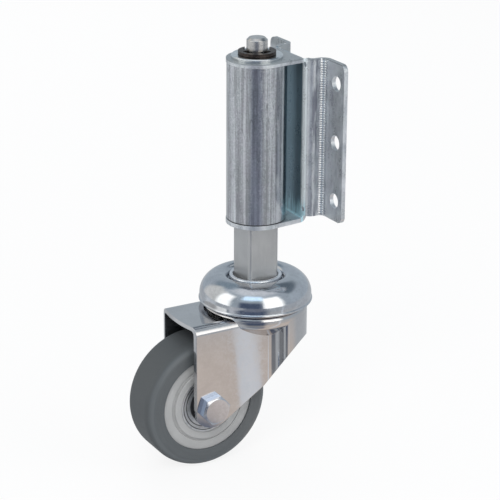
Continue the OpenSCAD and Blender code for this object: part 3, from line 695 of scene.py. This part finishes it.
class CASTOR_OT_lip_ribs(bpy.types.Operator):
    """Add the fine ribs that the press leaves in the folds of the two lips"""
    bl_idname = "castor.lip_ribs"
    bl_label = "Add lip ribs"

    def execute(self, context):
        ribs = context.scene.castor_ribs
        count = int(RIB_SPAN / ribs.pitch) + 1
        # The ribs are painted 15% lighter than the bracket, and a white painted highlight marks each rib's
        # start
        rib_lightened = tint(colour_of(context.scene.castor_colours, "bracket"), 1.15)
        rib_highlighted = zinc_sheet("rib_zinc", rib_lightened, streak=(0.5, 0.5, 0.5), roughness=0.2, edge_mm=0.1,
                               stain_and_painted_light=rib_painted_highlight)
        for side, name in ((-1, "ribs_near"), (1, "ribs_far")):
            centre = Vector((LIP_FRONT_X - FOLD_R, side * (WALL_Y + FOLD_R), -(count - 1) / 2 * ribs.pitch))
            bpy.ops.object.select_all(action="DESELECT")
            bpy.ops.mesh.primitive_torus_add(location=centre, major_radius=FOLD_R - RIB_RISE,
                                             minor_radius=ribs.thickness / 2,
                                             major_segments=32, minor_segments=8)
            rib = context.object
            rib.name = name
            bpy.ops.object.transform_apply(location=True, rotation=True, scale=True)
            bpy.ops.object.mode_set(mode="EDIT")
            cut_away(centre, (-1, 0, 0))
            cut_away(centre, (0, side, 0))
            bpy.ops.object.mode_set(mode="OBJECT")
            array = rib.modifiers.new("Array", "ARRAY")
            array.count = count
            array.use_relative_offset = False
            array.use_constant_offset = True
            array.constant_offset_displace = (0, 0, ribs.pitch)
            bpy.ops.object.modifier_apply(modifier=array.name)
            bpy.ops.object.shade_smooth_by_angle(angle=RIB_SMOOTH_ANGLE)
            rib.data.materials.append(rib_highlighted.owner)
            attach(rib, "bracket")
        return {"FINISHED"}


# Stage

FLOOR_SIZE = 30.0
FLOOR_GLOW = 0.86
BACKDROP_WHITE = (1.0, 1.0, 1.0)
ROOM_COLOUR = (0.93, 0.96, 1.0)
ROOM_STRENGTH = 0.62

# Lamps: place and size in metres, share of the lamp power, colour
LAMPS_AIM = (SWIVEL_X, 0.0, -0.08)
LAMPS = (
    ("main_lamp", (-0.9, -0.9, 1.1), 0.8, 1.0, (1.0, 0.99, 0.97)),
    ("fill_lamp", (0.9, -1.0, 0.5), 1.0, 0.4, (0.97, 0.98, 1.0)),
    ("rear_lamp", (0.3, 1.3, 0.9), 1.0, 0.5, (1.0, 1.0, 1.0)),
)

CAMERA_DISTANCE = 1.14231
CAMERA_TARGET = Vector((SWIVEL_X + 17.378 * MM, 37.100 * MM, TUBE_LOW_Z - 35.965 * MM))
SENSOR_WIDTH = 36.0
CLIP_START = 0.01

TENT_R = 2.5
TENT_MIDDLE = (SWIVEL_X, 0.0, -0.05)
DEGREES = 180 / math.pi
WALL_LIGHT = (0.49, 0.55, 0.60)
CEILING_LIGHT = (0.88, 0.90, 0.93)
CEILING_RISE = (50, 75)
HORIZON_RISE = (-6, -2)
PANEL_SOFT = 6.0

# Panels of the tent: middle turn, half width, middle rise, half height in degrees; the light they give
WALL_PANELS = (
    ((-82, 21, 20, 29), (2.1, 2.05, 1.95)),     # light wall at the bracket's near side
    ((-127, 25, 50, 11), (1.25, 1.6, 1.9)),     # cool light high in front
    ((168, 19, 19, 30), (1.9, 1.88, 1.8)),      # light wall at the wheel's end
    ((-129, 24, 6, 19), (0.10, 0.13, 0.20)),    # dark wall low in front
    ((92, 32, 50, 14), (0.30, 0.37, 0.43)),     # grey wall high at the far side
    ((12, 42, 56, 20), (0.17, 0.21, 0.25)),     # dark wall high at the bracket's end
    ((132, 22, 22, 28), (0.84, 0.83, 0.80)),    # pale wall at the far side of the wheel
)
GROUND_PANELS = (
    ((141, 15, -20, 14), (0.76, 0.79, 0.82)),
    ((-166, 7, -20, 14), (0.70, 0.71, 0.74)),
)

# Ground of the tent: colours, turns in degrees, and distances from its middle in millimetres
GROUND_LIGHT = (0.54, 0.565, 0.59)
WARM_LIGHT = (0.77, 0.68, 0.615)
WARM_TURN = -68
UNDER_LIGHT = (0.16, 0.19, 0.26)
UNDER_TURN = -125
COOL_LIGHT = (0.88, 0.91, 0.96)
COOL_NORMAL = (0.868, 0.448)
COOL_OFFSET = 17.7
STRIP_TURN = math.radians(-119.8)
STRIP_NEAR_LIGHT = (0.27, 0.28, 0.30)
STRIP_MIDDLE_LIGHT = (0.09, 0.12, 0.19)
STRIP_FAR_LIGHT = (0.235, 0.255, 0.31)


def turned_off(f, turn, middle_turn):
    """How far a turn is from another round the circle, in degrees."""
    return abs(f.node("ShaderNodeMath", {"operation": "WRAP"}, {0: turn - middle_turn, 1: 180.0, 2: -180.0}))


def panel(f, turn, rise, middle_turn, half_turn, middle_rise, half_rise):
    """Share from 0 to 1 of a soft-edged panel of the tent, in degrees."""
    return (f.fade(turned_off(f, turn, middle_turn), half_turn - PANEL_SOFT, half_turn + PANEL_SOFT)
            * f.near(rise, middle_rise, half_rise - PANEL_SOFT, half_rise + PANEL_SOFT))


def tent_ground(f, x, y, turn, rise):
    """Light of the tent's ground: warm close to the castor, with shaded and dark strips towards the front."""
    flat = reach(x, y)
    warm = f.fade(flat, 150, 320) * f.fade(turned_off(f, turn, WARM_TURN), 28, 50)
    ground = f.mix(warm, GROUND_LIGHT, WARM_LIGHT)
    under = f.fade(flat, 70, 135) * f.near(turn, UNDER_TURN, 22, 34) * f.fade(y, -62, -50)
    ground = f.mix(under, ground, UNDER_LIGHT)
    for spot, shade in GROUND_PANELS:
        ground = f.mix(panel(f, turn, rise, *spot), ground, shade)
    cool = f.near(x * COOL_NORMAL[0] + y * COOL_NORMAL[1], -COOL_OFFSET, 6.5, 8.5) * f.fade(y, -70, -60)
    ground = f.mix(cool, ground, COOL_LIGHT)
    ahead = x * math.cos(STRIP_TURN) + y * math.sin(STRIP_TURN)
    side = y * math.cos(STRIP_TURN) - x * math.sin(STRIP_TURN)
    swing = side.turn_from(ahead) * DEGREES
    strip = f.between(side, -235, -170) * f.fade(swing, 14, 34) * f.between(ahead, 185, 250)
    near_strip = f.between(ahead, 105, 150) * f.near(swing, 0.0, 15, 27)
    dark = f.mix(f.between(ahead, 260, 420), STRIP_MIDDLE_LIGHT, STRIP_FAR_LIGHT)
    dark = f.mix(f.between(ahead, 180, 240), STRIP_NEAR_LIGHT, dark)
    return f.mix(strip.top(near_strip), ground, dark)


def tent_light():
    """Light of the tent that the metal mirrors: grey walls with a few light and dark panels."""
    f = surface("tent_light", "ShaderNodeEmission")
    x, y, z = f.place_from(TENT_MIDDLE)
    turn = y.turn_from(x) * DEGREES
    rise = z.turn_from(reach(x, y)) * DEGREES
    wall = f.mix(f.between(rise, *CEILING_RISE), WALL_LIGHT, CEILING_LIGHT)
    for spot, shade in WALL_PANELS:
        wall = f.mix(panel(f, turn, rise, *spot), wall, shade)
    ground = tent_ground(f, x, y, turn, rise)
    f.set(Color=f.mix(f.between(rise, *HORIZON_RISE), ground, wall), Strength=1.0)
    return f


def aim(thing, target):
    """Turn a lamp towards a point."""
    back = (thing.location - Vector(target)).normalized()
    thing.rotation_euler = back.to_track_quat("Z", "Y").to_euler()


class CASTOR_OT_stage(bpy.types.Operator):
    """Add the pale floor, the reflection tent, the lamps and the camera"""
    bl_idname = "castor.stage"
    bl_label = "Add stage"

    def floor(self, white):
        """A pale floor that keeps the castor's soft shadow."""
        bpy.ops.object.select_all(action="DESELECT")
        bpy.ops.mesh.primitive_grid_add(x_subdivisions=4, y_subdivisions=4, size=FLOOR_SIZE,
                                        location=(0, 0, FLOOR_Z))
        floor = bpy.context.object
        floor.name = "floor"
        bpy.ops.object.transform_apply(location=True, rotation=True, scale=True)
        f = surface("floor_white", "ShaderNodeMixShader")
        f.blend(f.seen() * FLOOR_GLOW,
                f.node("ShaderNodeBsdfDiffuse", None, {"Color": white}),
                f.node("ShaderNodeEmission", None, {"Color": BACKDROP_WHITE, "Strength": 1.0}))
        floor.data.materials.append(f.owner)

    def tent(self):
        """A sphere round the castor that only mirroring rays meet."""
        bpy.ops.object.select_all(action="DESELECT")
        bpy.ops.mesh.primitive_uv_sphere_add(segments=48, ring_count=24, radius=TENT_R,
                                             location=(SWIVEL_X, 0, 0))
        tent = bpy.context.object
        tent.name = "reflection_tent"
        bpy.ops.object.transform_apply(location=True, rotation=True, scale=True)
        bpy.ops.object.mode_set(mode="EDIT")
        cut_away((0, 0, FLOOR_Z + 0.4 * MM), (0, 0, -1))
        bpy.ops.mesh.select_all(action="SELECT")
        bpy.ops.mesh.flip_normals()
        bpy.ops.object.mode_set(mode="OBJECT")
        tent.data.materials.append(tent_light().owner)
        tent.visible_camera = False
        tent.visible_diffuse = False
        tent.visible_shadow = False
        tent.visible_transmission = False
        tent.visible_volume_scatter = False

    def world(self):
        """A white backdrop where it is seen, and soft light from a cooler room everywhere else."""
        world = bpy.data.worlds.new("studio")
        bpy.context.scene.world = world
        f = Finish(world, "ShaderNodeMixShader", "ShaderNodeOutputWorld")
        f.blend(f.seen(),
                f.node("ShaderNodeBackground", None, {"Color": ROOM_COLOUR, "Strength": ROOM_STRENGTH}),
                f.node("ShaderNodeBackground", None, {"Color": BACKDROP_WHITE}))

    def lamps(self, power):
        """Three large lamps, which mirrors don't show."""
        for name, place, size, share, colour in LAMPS:
            light = bpy.data.lights.new(name, "AREA")
            light.shape = "DISK"
            light.size = size
            light.energy = power * share
            light.color = colour
            lamp = bpy.data.objects.new(name, light)
            bpy.context.scene.collection.objects.link(lamp)
            lamp.location = place
            aim(lamp, LAMPS_AIM)
            lamp.visible_glossy = False

    def camera(self, stage):
        """The camera at the photograph's place."""
        data = bpy.data.cameras.new("photo_camera")
        data.sensor_width = SENSOR_WIDTH
        data.lens = stage.lens
        data.clip_start = CLIP_START
        camera = bpy.data.objects.new("photo_camera", data)
        bpy.context.scene.collection.objects.link(camera)
        turned_to = (Matrix.Rotation(stage.azimuth, 4, "Z")
                     @ Matrix.Rotation(math.pi / 2 - stage.elevation, 4, "X")
                     @ Matrix.Rotation(stage.roll, 4, "Z"))
        camera.matrix_world = (Matrix.Translation(CAMERA_TARGET) @ turned_to
                               @ Matrix.Translation((0, 0, CAMERA_DISTANCE)))
        bpy.context.scene.camera = camera

    def execute(self, context):
        stage = context.scene.castor_stage
        self.floor(colour_of(stage, "white"))
        self.tent()
        self.world()
        self.lamps(stage.lamp)
        self.camera(stage)
        context.scene.view_settings.view_transform = "Standard"
        return {"FINISHED"}


# Sidebar panel and registration

PIECES = (CASTOR_OT_bracket, CASTOR_OT_spring_unit, CASTOR_OT_swivel_head, CASTOR_OT_fork, CASTOR_OT_axle,
          CASTOR_OT_bearings, CASTOR_OT_wheel, CASTOR_OT_lip_ribs, CASTOR_OT_stage)


class CASTOR_PT_panel(bpy.types.Panel):
    """The castor's steps and settings in the 3D view's sidebar"""
    bl_label = "Swivel castor"
    bl_idname = "CASTOR_PT_panel"
    bl_space_type = "VIEW_3D"
    bl_region_type = "UI"
    bl_category = "Castor"

    def draw(self, context):
        for piece in PIECES:
            self.layout.operator(piece.bl_idname)
        for group in (context.scene.castor_colours, context.scene.castor_ribs, context.scene.castor_stage):
            column = self.layout.column()
            for key in group.__annotations__:
                column.prop(group, key)


CLASSES = (CastorColours, CastorRibs, CastorStage, *PIECES, CASTOR_PT_panel)


def register():
    for item in CLASSES:
        bpy.utils.register_class(item)
    bpy.types.Scene.castor_colours = bpy.props.PointerProperty(type=CastorColours)
    bpy.types.Scene.castor_ribs = bpy.props.PointerProperty(type=CastorRibs)
    bpy.types.Scene.castor_stage = bpy.props.PointerProperty(type=CastorStage)


def unregister():
    del bpy.types.Scene.castor_colours
    del bpy.types.Scene.castor_ribs
    del bpy.types.Scene.castor_stage
    for item in reversed(CLASSES):
        bpy.utils.unregister_class(item)


def main():
    register()
    for operator in (bpy.ops.castor.bracket, bpy.ops.castor.spring_unit, bpy.ops.castor.swivel_head,
                     bpy.ops.castor.fork, bpy.ops.castor.axle, bpy.ops.castor.bearings, bpy.ops.castor.wheel,
                     bpy.ops.castor.lip_ribs, bpy.ops.castor.stage):
        operator()


if __name__ == "__main__":
    main()
